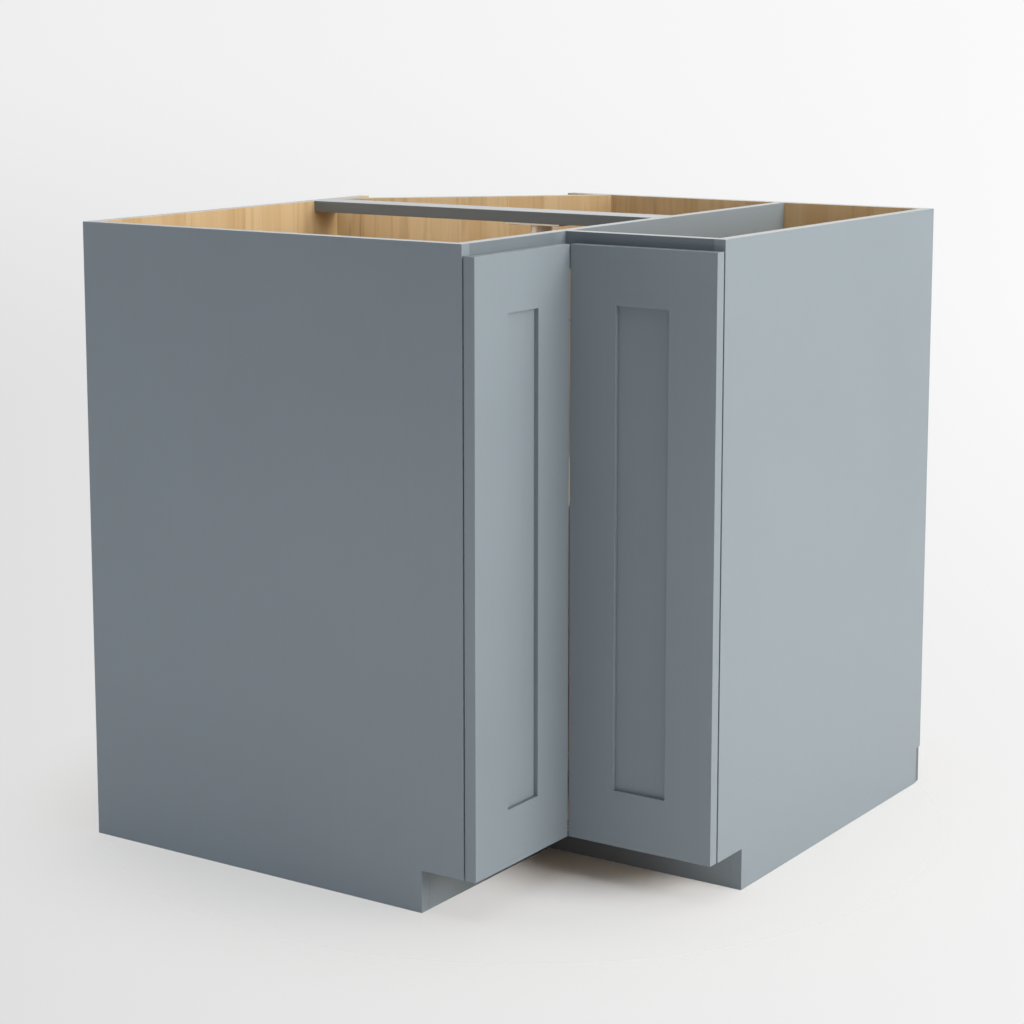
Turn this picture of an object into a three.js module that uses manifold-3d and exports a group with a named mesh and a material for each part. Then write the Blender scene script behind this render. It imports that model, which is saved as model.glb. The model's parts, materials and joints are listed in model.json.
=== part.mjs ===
// Corner carousel cabinet: an L-shaped base cabinet with an open top, a pair of bi-fold shaker
// doors in the inner corner, and two round trays turning on a pole behind them.
// Millimetres, +Z up. The origin is on the floor, in the middle of the square footprint.
// The room's corner is at -X +Y: the left wing ends at -Y and the right wing at +X.

import * as THREE from 'three';
import { mergeVertices } from 'three/addons/utils/BufferGeometryUtils.js';
import Module from 'manifold-3d';

const wasm = await Module();
wasm.setup();

// ---- Carcass ----
const depth = 609.5; // of each wing, 24 in
const height = 838;
const board = 16;
const topRailHeight = 47.5;
const crossRailWidth = 52;
const crossRailGap = 2; // from the diagonal panel's end to the cross rail
const backPanelTip = 56.5; // by which each back panel runs on behind the diagonal one
const diagonalReach = 330; // along the walls, to the diagonal panel's inner face

// ---- Base ----
const toeHeight = 55;
const toeSetback = 63.5;
const baseRailThickness = 12;
const baseRailHeight = 52;
const baseRailRecess = 2; // of the rail's end in the right end panel's notch

// ---- Doors ----
const doorWidth = 209.4; // with the depth, this sets how far each wing runs along its wall
const doorThickness = 16;
const doorGap = 1.5; // between the carcass front and a door's back
const doorTopReveal = 14.5;
const doorSideReveal = 1;
const doorCornerGap = 0.6; // from the inner corner's line to each door's edge
const stileWidths = { left: 71, right: 67 }; // of each door
const railWidth = 73.5;
const panelRecess = 6;
const panelThickness = 6;
const grooveDepth = 9;
const bumperRadius = 5;
const bumperInset = 22; // from a door's loose edge to its bumper's middle
const catchSize = [36, 14, 40]; // front to back, out from the end panel, up
const strikeWidth = 12;
const strikeHeight = 32;
const catchHeight = 450; // of the catch's middle above the floor

// ---- Hinges ----
const cupRadius = 17.5;
const cupDepth = 12; // of the bore in the stile
const cupWall = 1;
const cupEdge = 22.5; // from the stile's edge to the cup's middle
const cupFlange = [36, 1.2, 56]; // across, thick, tall
const hingeInset = 100; // from each end of a door to its hinges
const pivotInset = 5; // from the right door's outer edge to the turning line
const pivotDepth = 4.5; // from the right door's front to the turning line
const linkInner = 19; // radius of the curved leaves
const linkDepth = 4;
const leaf = 1.4; // thickness of a leaf's walls
const tongueHalf = 3;
const armHalf = 7;
const plateThickness = 3;
const plateLength = 38;
const plateHeight = 44;
const plateSetback = 17; // from the arm's nose to the plate
const armThickness = 7.5;
const foldAngle = 60; // by which the doors unfold
const noseLap = 0.4; // degrees by which a tongue starts inside its arm's nose

// ---- Carousel ----
const polePlace = 399; // from the left wall; it stands under the cross rail
const poleRadius = 12.75;
const poleWall = 1.5;
const lowerPoleLength = 500;
const poleOverlap = 120; // of the upper tube in the lower one
const trayClearance = 11; // from the tray's rim to the nearest panel
const trayRim = 39;
const trayWall = 3;
const trayFloorRise = 6;
const trayHubRadius = 22;
const trayHubHeight = 34;
const trayLip = 3;
const upperTrayRise = 359; // from the bottom panel to the upper tray's hub
const collarHeight = 14;
const collarRadius = 20;
const setScrewRadius = 2.5;
const bearingRadius = 40;
const bearingThickness = 4;
const bearingBossHeight = 22;
const bossWall = 4;
const bracketLength = 90;
const bracketThickness = 3;
const bracketBossHeight = 28;

// ---- Clearances and roundness ----
const fit = 0.3; // between pieces that seat in or pass each other
const traySides = 48;
const roundSides = 24;
const smallSides = 12;
const arcSteps = 8;

// Worked out from the sizes above
const doorFront = depth + doorGap + doorThickness;
const width = doorFront + doorCornerGap + doorWidth + doorSideReveal; // along each wall, 33 in
const inner = width - board; // inner face of both end panels
const bottomTop = toeHeight + board;
const crossRailPlace = diagonalReach - board + crossRailGap + crossRailWidth / 2;
const backPanelEnd = diagonalReach - board * (1 + Math.SQRT2) - backPanelTip;
const doorHeight = height - doorTopReveal - toeHeight;
const upperPoleRadius = poleRadius - poleWall - fit;
const hingeHeights = { lower: toeHeight + hingeInset, upper: toeHeight + doorHeight - hingeInset };
const linkOuter = linkInner + linkDepth;

// ---- Finishes ----
const finish = (color, roughness, metalness = 0) =>
  new THREE.MeshStandardMaterial({ color, roughness, metalness });
const paint = () => finish(0x7b868e, 0.5);
const maple = () => finish(0xcdb287, 0.6);
const kickPaint = () => finish(0x63696d, 0.55);
const nickel = () => finish(0xb9bbbd, 0.35, 1);
const tube = () => finish(0xc9cbcd, 0.28, 1);
const whitePlastic = () => finish(0xe8e6e0, 0.45);
const tanPlastic = () => finish(0xc6ac85, 0.5);
const clearRubber = () => finish(0xdadad6, 0.7);
const darkSteel = () => finish(0x3c3e40, 0.5, 0.8);

// ---- Solids: joining and cutting ----
function toSolid(geometry) {
  const bare = geometry.clone();
  bare.deleteAttribute('normal');
  bare.deleteAttribute('uv');
  const merged = mergeVertices(bare, 1e-4);
  return new wasm.Manifold(
    new wasm.Mesh({
      numProp: 3,
      vertProperties: new Float32Array(merged.attributes.position.array),
      triVerts: new Uint32Array(merged.index.array),
    }),
  );
}

function toGeometry(solid) {
  const mesh = solid.getMesh();
  const geometry = new THREE.BufferGeometry();
  geometry.setAttribute('position', new THREE.BufferAttribute(mesh.vertProperties, mesh.numProp));
  geometry.setIndex(new THREE.BufferAttribute(mesh.triVerts, 1));
  geometry.computeVertexNormals();
  return geometry;
}

const join = (first, ...others) =>
  toGeometry(others.reduce((solid, other) => solid.add(toSolid(other)), toSolid(first)));

const cut = (body, ...tools) =>
  toGeometry(tools.reduce((solid, tool) => solid.subtract(toSolid(tool)), toSolid(body)));

// ---- Shapes ----
// A block from its lowest corner and its size
const block = (low, size) =>
  new THREE.BoxGeometry(...size).translate(...low.map((value, i) => value + size[i] / 2));

const outline = (points) => new THREE.Shape(points.map(([x, y]) => new THREE.Vector2(x, y)));

const extrude = (shape, thickness) =>
  new THREE.ExtrudeGeometry(shape, { depth: thickness, bevelEnabled: false, curveSegments: arcSteps });

// An extrusion centred on its own z = 0
const slab = (shape, halfThickness) =>
  extrude(shape, 2 * halfThickness).translate(0, 0, -halfThickness);

// A turned shape standing on the z axis, from [radius, height] pairs
const turned = (profile, sides) =>
  new THREE.LatheGeometry(profile.map(([r, z]) => new THREE.Vector2(r, z)), sides).rotateX(Math.PI / 2);

const ring = (innerRadius, outerRadius, low, high, sides = roundSides) =>
  turned(
    [
      [innerRadius, low],
      [outerRadius, low],
      [outerRadius, high],
      [innerRadius, high],
      [innerRadius, low],
    ],
    sides,
  );

// A stretch of ring in plan, between two angles in degrees
function sector(innerRadius, outerRadius, from, to) {
  const shape = new THREE.Shape();
  const start = THREE.MathUtils.degToRad(from);
  const end = THREE.MathUtils.degToRad(to);
  shape.absarc(0, 0, outerRadius, start, end, false);
  shape.absarc(0, 0, innerRadius, end, start, true);
  shape.closePath();
  return shape;
}

// ---- The scene graph ----
const cabinet = new THREE.Group();
cabinet.name = 'corner_carousel_cabinet';

// Everything below is placed from the room's corner: x from the left wall, -y from the right wall
const corner = new THREE.Group();
corner.position.set(-width / 2, width / 2, 0);
cabinet.add(corner);

function add(group, name, geometry, material, [x, y, z] = [0, 0, 0]) {
  const mesh = new THREE.Mesh(geometry, material);
  mesh.name = name;
  mesh.position.set(x, y, z);
  group.add(mesh);
  return mesh;
}

function addBoard(group, name, material, low, high) {
  const size = high.map((value, i) => value - low[i]);
  const middle = high.map((value, i) => (value + low[i]) / 2);
  return add(group, name, new THREE.BoxGeometry(...size), material, middle);
}

// ---- Carcass ----
// An end panel in its own plane: from the wall to the front, with the toe notch below the front
function endPanelGeometry(rearNotch) {
  const notchStart = depth - toeSetback;
  const rear = rearNotch
    ? [
        [0, baseRailHeight + fit],
        [baseRailThickness + fit, baseRailHeight + fit],
        [baseRailThickness + fit, 0],
      ]
    : [[0, 0]];
  const points = [
    ...rear,
    [notchStart, 0],
    [notchStart, toeHeight],
    [depth, toeHeight],
    [depth, height],
    [0, height],
  ];
  return extrude(outline(points), board).rotateX(Math.PI / 2);
}

function addCarcass() {
  const carcass = new THREE.Group();
  corner.add(carcass);
  add(carcass, 'left_end_panel', endPanelGeometry(false), paint(), [0, -inner, 0]);
  add(carcass, 'right_end_panel', endPanelGeometry(true).rotateZ(-Math.PI / 2), paint(), [width, 0, 0]);

  addBoard(carcass, 'left_back_panel', maple(), [0, -inner, baseRailHeight], [board, -backPanelEnd, height]);
  addBoard(carcass, 'right_back_panel', maple(), [backPanelEnd, -board, baseRailHeight], [inner, 0, height]);
  const diagonal = diagonalOutline(board, board);
  const diagonalHeight = height - baseRailHeight;
  add(carcass, 'diagonal_back_panel', extrude(diagonal, diagonalHeight), maple(), [0, 0, baseRailHeight]);

  const bottom = outline([
    [board, board - diagonalReach],
    [board, -inner],
    [depth, -inner],
    [depth, -depth],
    [inner, -depth],
    [inner, -board],
    [diagonalReach - board, -board],
  ]);
  add(carcass, 'bottom_panel', extrude(bottom, board), maple(), [0, 0, toeHeight]);

  const railLow = height - topRailHeight;
  addBoard(carcass, 'long_top_rail', paint(), [depth - board, -inner, railLow], [depth, -board, height]);
  addBoard(carcass, 'right_top_rail', paint(), [depth, -depth, railLow], [inner, board - depth, height]);
  const crossFront = -crossRailPlace - crossRailWidth / 2;
  addBoard(
    carcass,
    'cross_top_rail',
    paint(),
    [board, crossFront, height - board],
    [depth - board, crossFront + crossRailWidth, height],
  );
}

// A board across the room's corner, cut to lie between two boards along the walls
function diagonalOutline(thickness, wallThickness) {
  const outer = diagonalReach - thickness * Math.SQRT2;
  return outline([
    [wallThickness, wallThickness - diagonalReach],
    [diagonalReach - wallThickness, -wallThickness],
    [outer - wallThickness, -wallThickness],
    [wallThickness, wallThickness - outer],
  ]);
}

// ---- Base ----
function addBase() {
  const base = new THREE.Group();
  corner.add(base);
  const kickFront = depth - toeSetback;
  const kickBack = kickFront - board;
  addBoard(base, 'left_toe_kick', kickPaint(), [kickBack, -inner, 0], [kickFront, -kickBack, toeHeight]);
  addBoard(base, 'right_toe_kick', kickPaint(), [kickFront, -kickFront, 0], [inner, -kickBack, toeHeight]);

  const rail = baseRailThickness;
  addBoard(base, 'left_rear_base_rail', maple(), [0, -inner, 0], [rail, -backPanelEnd, baseRailHeight]);
  addBoard(
    base,
    'right_rear_base_rail',
    paint(),
    [backPanelEnd, -rail, 0],
    [width - baseRailRecess, 0, baseRailHeight],
  );
  add(base, 'corner_base_rail', extrude(diagonalOutline(rail, rail), baseRailHeight), maple());
}

// ---- Doors ----
// A stile lies with its groove on the side that faces the panel. Its bores are in its back.
function stileGeometry(stileWidth, grooveAtLow, boreHeights) {
  const low = grooveAtLow ? -1 : stileWidth - grooveDepth;
  const groove = block(
    [low, panelRecess - fit, -1],
    [grooveDepth + 1, panelThickness + 2 * fit, doorHeight + 2],
  );
  const bores = boreHeights.map((z) =>
    new THREE.CylinderGeometry(cupRadius + fit, cupRadius + fit, cupDepth + 1, roundSides).translate(
      stileWidth - cupEdge,
      doorThickness + 1 - (cupDepth + 1) / 2,
      z,
    ),
  );
  return cut(block([0, 0, 0], [stileWidth, doorThickness, doorHeight]), groove, ...bores);
}

// A rail with a tongue at each end for the stiles' grooves, and its own groove for the panel
function doorRailGeometry(stileWidth, grooveAtLow) {
  const length = doorWidth - 2 * stileWidth;
  const tongue = grooveDepth - fit;
  const body = join(
    block([0, 0, 0], [length, doorThickness, railWidth]),
    block([-tongue, panelRecess, 0], [length + 2 * tongue, panelThickness, railWidth]),
  );
  const groove = block(
    [-tongue - 1, panelRecess - fit, grooveAtLow ? -1 : railWidth - grooveDepth],
    [length + 2 * tongue + 2, panelThickness + 2 * fit, grooveDepth + 1],
  );
  return cut(body, groove);
}

// A door in its own frame: x from its left edge as seen from the front, y from its front to its
// back, z up from its lower edge. Its right stile holds the hinge cups.
function makeDoor(side, leftStile, rightStile) {
  const door = new THREE.Group();
  const stileWidth = stileWidths[side];
  const bores = [hingeInset, doorHeight - hingeInset];
  add(door, `${side}_door_${leftStile}_stile`, stileGeometry(stileWidth, false, []), paint());
  add(door, `${side}_door_${rightStile}_stile`, stileGeometry(stileWidth, true, bores), paint(), [
    doorWidth - stileWidth,
    0,
    0,
  ]);
  add(door, `${side}_door_bottom_rail`, doorRailGeometry(stileWidth, false), paint(), [
    stileWidth,
    0,
    0,
  ]);
  add(door, `${side}_door_top_rail`, doorRailGeometry(stileWidth, true), paint(), [
    stileWidth,
    0,
    doorHeight - railWidth,
  ]);
  const reach = grooveDepth - fit;
  addBoard(
    door,
    `${side}_door_panel`,
    paint(),
    [stileWidth - reach, panelRecess, railWidth - reach],
    [doorWidth - stileWidth + reach, panelRecess + panelThickness, doorHeight - railWidth + reach],
  );
  return door;
}

// Rubber bumpers behind a door: against the top rail and against the bottom panel's edge
function addBumpers(door, side, x) {
  const thickness = doorGap - fit;
  const heights = {
    upper: height - topRailHeight - toeHeight + 2 * bumperRadius,
    lower: board / 2,
  };
  for (const [level, z] of Object.entries(heights)) {
    const pad = new THREE.CylinderGeometry(bumperRadius, bumperRadius, thickness, smallSides);
    add(door, `${side}_${level}_bumper`, pad, clearRubber(), [x, doorThickness + thickness / 2, z]);
  }
}

function addDoors() {
  const rightDoor = makeDoor('right', 'inner', 'outer');
  rightDoor.position.set(doorFront + doorCornerGap, -doorFront, toeHeight);
  addBumpers(rightDoor, 'right', bumperInset);

  const leftDoor = makeDoor('left', 'outer', 'inner');
  leftDoor.rotation.z = Math.PI / 2;
  leftDoor.position.set(doorFront, doorSideReveal - width, toeHeight);
  addBumpers(leftDoor, 'left', bumperInset);
  corner.add(rightDoor, leftDoor);
}

// The magnetic catch on the left end panel and the strike plate behind the left door
function addCatch() {
  const low = catchHeight - catchSize[2] / 2;
  addBoard(
    corner,
    'door_catch',
    whitePlastic(),
    [depth - catchSize[0], -inner, low],
    [depth, catchSize[1] - inner, low + catchSize[2]],
  );
  const strikeFrom = (catchSize[1] - strikeWidth) / 2 - inner;
  addBoard(
    corner,
    'catch_strike',
    nickel(),
    [depth + fit, strikeFrom, catchHeight - strikeHeight / 2],
    [depth + doorGap, strikeFrom + strikeWidth, catchHeight + strikeHeight / 2],
  );
}

// ---- Hinges ----
// Each hinge is a nest of curved leaves round its turning line: a fixed tongue, leaves that slide
// out of each other like a fan, and a cup whose own leaf is the outermost.

// How far leaf number `stage` reaches from the tongue: its half height and its web's outer radius
const leafHalf = (stage) => tongueHalf + stage * (leaf + fit);
const leafRadius = (stage) => linkOuter + stage * (leaf + fit);

// Two curved walls beside the leaf inside, joined by a web outside its radius
function leafGeometry(stage, from, to) {
  const body = slab(sector(linkInner, leafRadius(stage), from, to), leafHalf(stage));
  const hollow = slab(
    sector(linkInner - 1, leafRadius(stage) - leaf, from - 5, to + 5),
    leafHalf(stage) - leaf,
  );
  return cut(body, hollow);
}

function arcPoint(radius, degrees) {
  const angle = THREE.MathUtils.degToRad(degrees);
  return [radius * Math.cos(angle), radius * Math.sin(angle)];
}

const tongueGeometry = (from, to) => slab(sector(linkInner, linkOuter, from, to), tongueHalf);

// The cup in its own frame: its mouth and flange face +y and lie on y = 0
function cupGeometry() {
  const bottom = fit - cupDepth;
  const hollowRadius = cupRadius - cupWall;
  const shell = new THREE.LatheGeometry(
    [
      [0, bottom],
      [cupRadius, bottom],
      [cupRadius, cupFlange[1]],
      [hollowRadius, cupFlange[1]],
      [hollowRadius, bottom + cupWall],
      [0, bottom + cupWall],
    ].map(([r, y]) => new THREE.Vector2(r, y)),
    roundSides,
  );
  const flange = block([-cupFlange[0] / 2, 0, -cupFlange[2] / 2], cupFlange);
  const mouth = new THREE.CylinderGeometry(hollowRadius, hollowRadius, 4 * cupFlange[1], roundSides);
  return join(shell, cut(flange, mouth));
}

// Right door on the right end panel. The frame's origin is the turning line, the door lies
// towards -x and its back faces +y.
function addCabinetHinge(level, z) {
  const hinge = new THREE.Group();
  hinge.position.set(width - doorSideReveal - pivotInset, -doorFront + pivotDepth, z);
  corner.add(hinge);

  const panelFace = inner - hinge.position.x;
  const back = doorThickness - pivotDepth;
  const cupX = pivotInset - cupEdge;
  const nose = THREE.MathUtils.radToDeg(Math.acos((panelFace - fit) / linkInner));
  const floorTop = back + fit - cupDepth + cupWall;
  const tip = 180 - THREE.MathUtils.radToDeg(Math.asin((floorTop + fit) / linkInner));
  const noseY = arcPoint(linkInner, nose)[1];
  const plateLow = noseY + plateSetback;
  const armFace = panelFace - plateThickness - fit;

  const plate = block(
    [panelFace - plateThickness, plateLow, -plateHeight / 2],
    [plateThickness, plateLength, plateHeight],
  );
  add(hinge, `${level}_hinge_plate`, plate, nickel());

  const armOutline = outline([
    arcPoint(linkInner, nose + 2 * noseLap),
    [panelFace - fit, noseY],
    [panelFace - fit, plateLow - 2 * plateThickness],
    [armFace, plateLow - plateThickness],
    [armFace, plateLow + plateLength],
    [armFace - armThickness, plateLow + plateLength],
    [armFace - armThickness, plateLow + plateThickness],
    arcPoint(linkOuter, nose + 2 * noseLap),
  ]);
  const arm = join(slab(armOutline, armHalf), tongueGeometry(nose + noseLap, tip));
  add(hinge, `${level}_hinge_arm`, arm, nickel());

  const leafStart = nose + 3 * noseLap;
  add(hinge, `${level}_hinge_first_link`, leafGeometry(1, leafStart, tip), nickel());
  add(hinge, `${level}_hinge_second_link`, leafGeometry(2, leafStart, tip), nickel());

  const cup = cupGeometry().translate(cupX, back, 0);
  const cupLeaf = leafGeometry(3, leafStart, 179);
  add(hinge, `${level}_hinge_cup`, join(cup, cupLeaf), nickel());
}

// Left door on the right door. The origin is the inner corner's line: the right door lies towards
// +x with its back facing +y, and the left door towards -y with its back facing -x.
function addFoldHinge(level, z) {
  const hinge = new THREE.Group();
  hinge.position.set(doorFront, -doorFront, z);
  corner.add(hinge);

  const back = doorThickness;
  const nose = THREE.MathUtils.radToDeg(Math.asin((back + fit) / linkInner));
  const noseX = arcPoint(linkInner, nose)[0];
  const plateLow = noseX + plateSetback;
  const armFace = back + plateThickness + fit;

  const plate = block([plateLow, back, -plateHeight / 2], [plateLength, plateThickness, plateHeight]);
  add(hinge, `${level}_fold_plate`, plate, nickel());

  const armOutline = outline([
    arcPoint(linkInner, nose + 2 * noseLap),
    [noseX, back + fit],
    [plateLow - 2 * plateThickness, back + fit],
    [plateLow - plateThickness, armFace],
    [plateLow + plateLength, armFace],
    [plateLow + plateLength, armFace + armThickness],
    [plateLow + plateThickness, armFace + armThickness],
    arcPoint(linkOuter, nose + 2 * noseLap),
  ]);
  const tongueEnd = 120;
  const arm = join(slab(armOutline, armHalf), tongueGeometry(nose + noseLap, tongueEnd));
  add(hinge, `${level}_fold_arm`, arm, nickel());

  const linkStart = nose + foldAngle / 2 + 3 * noseLap;
  const linkEnd = 152;
  add(hinge, `${level}_fold_link`, leafGeometry(1, linkStart, linkEnd), nickel());

  const cupY = -doorCornerGap - cupEdge;
  const cup = cupGeometry().rotateZ(Math.PI / 2).translate(-back, cupY, 0);
  const floor = cupDepth - fit - back;
  const leafEnd = 226;
  const [leafTip, legLow] = arcPoint(leafRadius(2), leafEnd);
  const legHigh = arcPoint(linkInner, leafEnd)[1];
  const leg = block(
    [leafTip, legLow, -leafHalf(2)],
    [floor - cupWall / 2 - leafTip, legHigh - legLow, 2 * leafHalf(2)],
  );
  const cupLeaf = leafGeometry(2, linkEnd - 2, leafEnd);
  add(hinge, `${level}_fold_cup`, join(cup, cupLeaf, leg), nickel());
}

// ---- Carousel ----
// The largest round tray that clears the panels about the pole by the stated clearance
function trayRadius() {
  const toDiagonal = (polePlace + crossRailPlace - diagonalReach) / Math.SQRT2;
  const toCorner = Math.hypot(depth - board - polePlace, depth - board - crossRailPlace);
  const toWalls = Math.min(polePlace, crossRailPlace) - board;
  return Math.min(toDiagonal, toCorner, toWalls) - trayClearance;
}

function trayGeometry() {
  const rim = trayRadius();
  const wallOut = rim - trayLip;
  const wallIn = wallOut - trayWall;
  const floorTop = trayFloorRise + trayWall;
  const top = trayFloorRise + trayRim;
  const bore = poleRadius + fit;
  const hub = trayHubRadius;
  const fillet = 4;
  return turned(
    [
      [bore, 0],
      [hub, 0],
      [hub + fillet, trayFloorRise],
      [wallOut - fillet, trayFloorRise],
      [wallOut, trayFloorRise + fillet],
      [wallOut, top - trayLip - trayWall],
      [rim, top - trayWall],
      [rim, top],
      [wallIn, top],
      [wallIn, floorTop + fillet],
      [wallIn - fillet, floorTop],
      [hub + 2 * fillet, floorTop],
      [hub + fillet / 2, floorTop + fillet],
      [hub, trayHubHeight],
      [bore, trayHubHeight],
      [bore, 0],
    ],
    traySides,
  );
}

function collarGeometry() {
  const hole = new THREE.CylinderGeometry(
    setScrewRadius + fit,
    setScrewRadius + fit,
    2 * collarRadius,
    smallSides,
  );
  hole.rotateZ(Math.PI / 2).translate(collarRadius, 0, collarHeight / 2);
  return cut(ring(poleRadius + fit, collarRadius, 0, collarHeight), hole);
}

function addCollar(carousel, level, z) {
  add(carousel, `${level}_collar`, collarGeometry(), nickel(), [0, 0, z]);
  const from = poleRadius + fit;
  const length = collarRadius + setScrewRadius - from;
  const screw = new THREE.CylinderGeometry(setScrewRadius, setScrewRadius, length, smallSides);
  screw.rotateZ(Math.PI / 2);
  add(carousel, `${level}_collar_screw`, screw, darkSteel(), [
    from + length / 2,
    0,
    z + collarHeight / 2,
  ]);
}

function addCarousel() {
  const carousel = new THREE.Group();
  carousel.position.set(polePlace, -crossRailPlace, bottomTop);
  corner.add(carousel);
  const underRail = height - board - bottomTop;

  const seat = poleRadius + fit;
  const bearing = turned(
    [
      [0, 0],
      [bearingRadius, 0],
      [bearingRadius, bearingThickness],
      [seat + bossWall + 2, bearingThickness],
      [seat + bossWall, bearingThickness + 2],
      [seat + bossWall, bearingBossHeight],
      [seat, bearingBossHeight],
      [seat, bearingThickness],
      [0, bearingThickness],
    ],
    roundSides,
  );
  add(carousel, 'pole_bearing', bearing, whitePlastic());

  const lowerTop = bearingThickness + lowerPoleLength;
  add(carousel, 'lower_pole', ring(poleRadius - poleWall, poleRadius, bearingThickness, lowerTop), tube());
  const upperTop = underRail - bracketThickness;
  const upperLow = lowerTop - poleOverlap;
  const upperTube = ring(upperPoleRadius - poleWall, upperPoleRadius, upperLow, upperTop);
  add(carousel, 'upper_pole', upperTube, tube());
  const lock = ring(upperPoleRadius + fit, collarRadius, lowerTop, lowerTop + collarHeight);
  add(carousel, 'pole_lock_collar', lock, nickel());

  const bracketSeat = upperPoleRadius + fit;
  const bracket = join(
    block(
      [-bracketLength / 2, -crossRailWidth / 2 + 1, -bracketThickness],
      [bracketLength, crossRailWidth - 2, bracketThickness],
    ),
    ring(bracketSeat, bracketSeat + bossWall, -bracketBossHeight, -bracketThickness / 2),
  );
  add(carousel, 'top_bracket', bracket, nickel(), [0, 0, underRail]);

  const lowerCollar = bearingBossHeight;
  addCollar(carousel, 'lower', lowerCollar);
  add(carousel, 'lower_tray', trayGeometry(), tanPlastic(), [0, 0, lowerCollar + collarHeight]);
  addCollar(carousel, 'upper', upperTrayRise - collarHeight);
  add(carousel, 'upper_tray', trayGeometry(), tanPlastic(), [0, 0, upperTrayRise]);
}

addCarcass();
addBase();
addDoors();
addCatch();
for (const [level, z] of Object.entries(hingeHeights)) {
  addCabinetHinge(level, z);
  addFoldHinge(level, z);
}
addCarousel();

export default cabinet;
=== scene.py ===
import json
import math

import bmesh
import bpy
from mathutils import Matrix, Vector


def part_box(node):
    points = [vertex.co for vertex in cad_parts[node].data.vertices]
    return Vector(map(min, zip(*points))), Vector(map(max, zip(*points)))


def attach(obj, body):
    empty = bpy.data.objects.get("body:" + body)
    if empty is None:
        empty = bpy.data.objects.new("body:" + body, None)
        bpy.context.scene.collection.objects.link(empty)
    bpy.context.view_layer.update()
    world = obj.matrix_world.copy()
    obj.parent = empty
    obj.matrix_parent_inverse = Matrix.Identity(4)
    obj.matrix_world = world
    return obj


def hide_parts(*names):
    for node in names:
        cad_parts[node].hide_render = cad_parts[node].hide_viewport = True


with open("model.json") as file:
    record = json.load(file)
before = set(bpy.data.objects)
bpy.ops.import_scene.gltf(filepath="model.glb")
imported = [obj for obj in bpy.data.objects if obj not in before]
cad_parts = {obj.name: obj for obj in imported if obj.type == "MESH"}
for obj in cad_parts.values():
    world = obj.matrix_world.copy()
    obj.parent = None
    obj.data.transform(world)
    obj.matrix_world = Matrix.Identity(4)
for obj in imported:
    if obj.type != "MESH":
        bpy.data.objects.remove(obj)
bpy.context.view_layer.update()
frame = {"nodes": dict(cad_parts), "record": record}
record = frame["record"]
bodyOf = {node: body for body, nodes in record["behaviour"]["bodies"].items() for node in nodes}
slotOf = {row["node"]: row["material_slot"] for row in record["subparts"]}
scene = bpy.context.scene
scene.view_settings.view_transform = "Standard"
mm = 0.001
levels = ("lower", "upper")
xAxis, yAxis, zAxis = Vector((1, 0, 0)), Vector((0, 1, 0)), Vector((0, 0, 1))

# Short ways to write shader nodes

def addNode(tree, kind, sockets=None, **settings):
    node = tree.nodes.new(kind)
    for name, value in settings.items():
        setattr(node, name, value)
    for key, value in (sockets or {}).items():
        if isinstance(value, bpy.types.NodeSocket):
            tree.links.new(value, node.inputs[key])
        else:
            node.inputs[key].default_value = value
    return node


def calc(tree, operation, *values):
    return addNode(tree, "ShaderNodeMath", dict(enumerate(values)), operation=operation).outputs[0]


def vectorCalc(tree, operation, sockets, output="Vector"):
    return addNode(tree, "ShaderNodeVectorMath", sockets, operation=operation).outputs[output]


def multiplyVectors(tree, first, second):
    return vectorCalc(tree, "MULTIPLY", {0: first, 1: second})


def dotProduct(tree, first, second):
    return vectorCalc(tree, "DOT_PRODUCT", {0: first, 1: second}, "Value")


def scaleColour(tree, colour, factor):
    return vectorCalc(tree, "SCALE", {0: colour, "Scale": factor})


# The Mix node has sockets for each kind of data; the colours go in at 6 and 7 and come out at 2.
def mixColours(tree, factor, first, second):
    sockets = {0: factor, 6: first, 7: second}
    return addNode(tree, "ShaderNodeMix", sockets, data_type="RGBA").outputs[2]


def noise(tree, vector, scale=1.0, detail=2.0, roughness=0.5):
    sockets = {"Vector": vector, "Scale": scale, "Detail": detail, "Roughness": roughness}
    return addNode(tree, "ShaderNodeTexNoise", sockets).outputs[0]


def remap(tree, value, low, high, toLow=0.0, toHigh=1.0, blend="LINEAR"):
    sockets = {"Value": value, "From Min": low, "From Max": high, "To Min": toLow, "To Max": toHigh}
    node = addNode(tree, "ShaderNodeMapRange", sockets, interpolation_type=blend)
    return node.outputs["Result"]


def smoothRamp(tree, value, low, high, toLow, toHigh):
    return remap(tree, value, low, high, toLow, toHigh, "SMOOTHSTEP")


def objectPlace(tree):
    return addNode(tree, "ShaderNodeTexCoord").outputs["Object"]


def newMaterial(name, shaderValues=None):
    material = bpy.data.materials.new(name)
    material.use_nodes = True
    shader = material.node_tree.nodes["Principled BSDF"]
    for label, value in (shaderValues or {}).items():
        shader.inputs[label].default_value = value
    return material, material.node_tree, shader


def addBump(tree, shader, height, depth):
    bump = addNode(tree, "ShaderNodeBump", {"Height": height, "Strength": 1.0, "Distance": depth})
    tree.links.new(bump.outputs["Normal"], shader.inputs["Normal"])


# Every shared effect is a node group that puts out these three.
effectOutputs = {"Colour": "Color", "Roughness": "Float", "Height": "Float"}


def newEffect(name, inputs):
    group = bpy.data.node_groups.new(name, "ShaderNodeTree")
    for way, sockets in (("INPUT", inputs), ("OUTPUT", effectOutputs)):
        for label, kind in sockets.items():
            group.interface.new_socket(name=label, in_out=way, socket_type="NodeSocket" + kind)
    return group, addNode(group, "NodeGroupInput").outputs


def finishEffect(group, colour, roughness, height):
    results = dict(zip(effectOutputs, (colour, roughness, height)))
    addNode(group, "NodeGroupOutput", results)
    return group


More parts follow.
